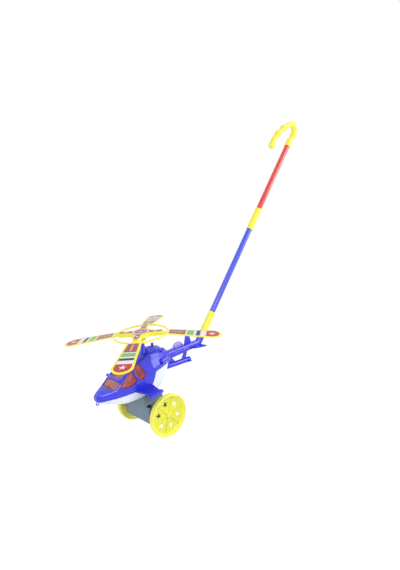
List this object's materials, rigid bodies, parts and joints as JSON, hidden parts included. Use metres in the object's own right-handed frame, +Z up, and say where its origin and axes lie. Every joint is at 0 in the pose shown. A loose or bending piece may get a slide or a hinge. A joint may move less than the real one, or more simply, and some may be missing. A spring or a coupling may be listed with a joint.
{
  "type": "push-along toy helicopter",
  "caption": "Push-along toy helicopter on dished wheels, with a drooping-bladed rotor that turns as it rolls, a boxy gearbox, a tail boom and a long push stick with a hooked handle.",
  "frame": {"origin": "on the gearbox's flat underside, where the mast's centre line meets it", "axes": "+Z up along the mast, -Y towards the nose, +X towards the toy's left side along the axle"},
  "size_m": [0.2368, 0.6584, 0.5749],
  "materials": {
    "blue_plastic": "glossy moulded blue plastic",
    "white_plastic": "glossy moulded white plastic",
    "yellow_plastic": "glossy moulded yellow plastic",
    "grey_plastic": "satin moulded blue-grey plastic",
    "red_window": "glossy tinted red clear plastic",
    "clear_plastic": "glossy lavender-blue half-clear plastic",
    "black_plastic": "plain black plastic",
    "steel": "bright drawn steel wire",
    "dark_screws": "blackened steel screws",
    "red_tube": "glossy red plastic tube",
    "blue_tube": "glossy blue plastic tube",
    "printed_label": "printed vinyl label in bands of colour"
  },
  "bodies": {
    "body": {"gearbox_housing": "grey_plastic", "gearbox_cover": "grey_plastic", "axle_bush_left": "black_plastic", "axle_bush_right": "black_plastic", "mast_bush_lower": "black_plastic", "mast_bush_upper": "black_plastic", "gearbox_screws": "dark_screws", "body_screws": "dark_screws", "gearbox_mount_screws": "dark_screws", "upper_shell": "blue_plastic", "belly_shell": "white_plastic", "window_insert": "red_window", "nose_eye": "blue_plastic", "tail_boom": "blue_plastic", "tail_fin": "blue_plastic", "tailplane": "blue_plastic", "boom_crest": "clear_plastic", "tail_skid": "blue_plastic", "lower_sleeve": "yellow_plastic", "lower_tube": "blue_tube", "middle_sleeve": "yellow_plastic", "upper_tube": "red_tube", "handle": "yellow_plastic"},
    "wheelset": {"axle": "steel", "wheel_left": "yellow_plastic", "wheel_right": "yellow_plastic", "crown_gear": "white_plastic"},
    "rotor": {"rotor": "yellow_plastic", "mast": "steel", "mast_pinion": "white_plastic", "blade_labels": "printed_label", "hub_label": "printed_label"}
  },
  "joints": [
    {"name": "wheel_spin", "type": "hinge", "parent": "body", "child": "wheelset", "pos_m": [0, 0, 0.008], "axis": [1, 0, 0], "continuous": true},
    {"name": "rotor_spin", "type": "hinge", "parent": "body", "child": "rotor", "pos_m": [0, 0, 0.159], "axis": [0, 0, 1], "continuous": true}
  ],
  "couplings": [
    {"joint": "rotor_spin", "follows": "wheel_spin", "ratio": -3}
  ]
}
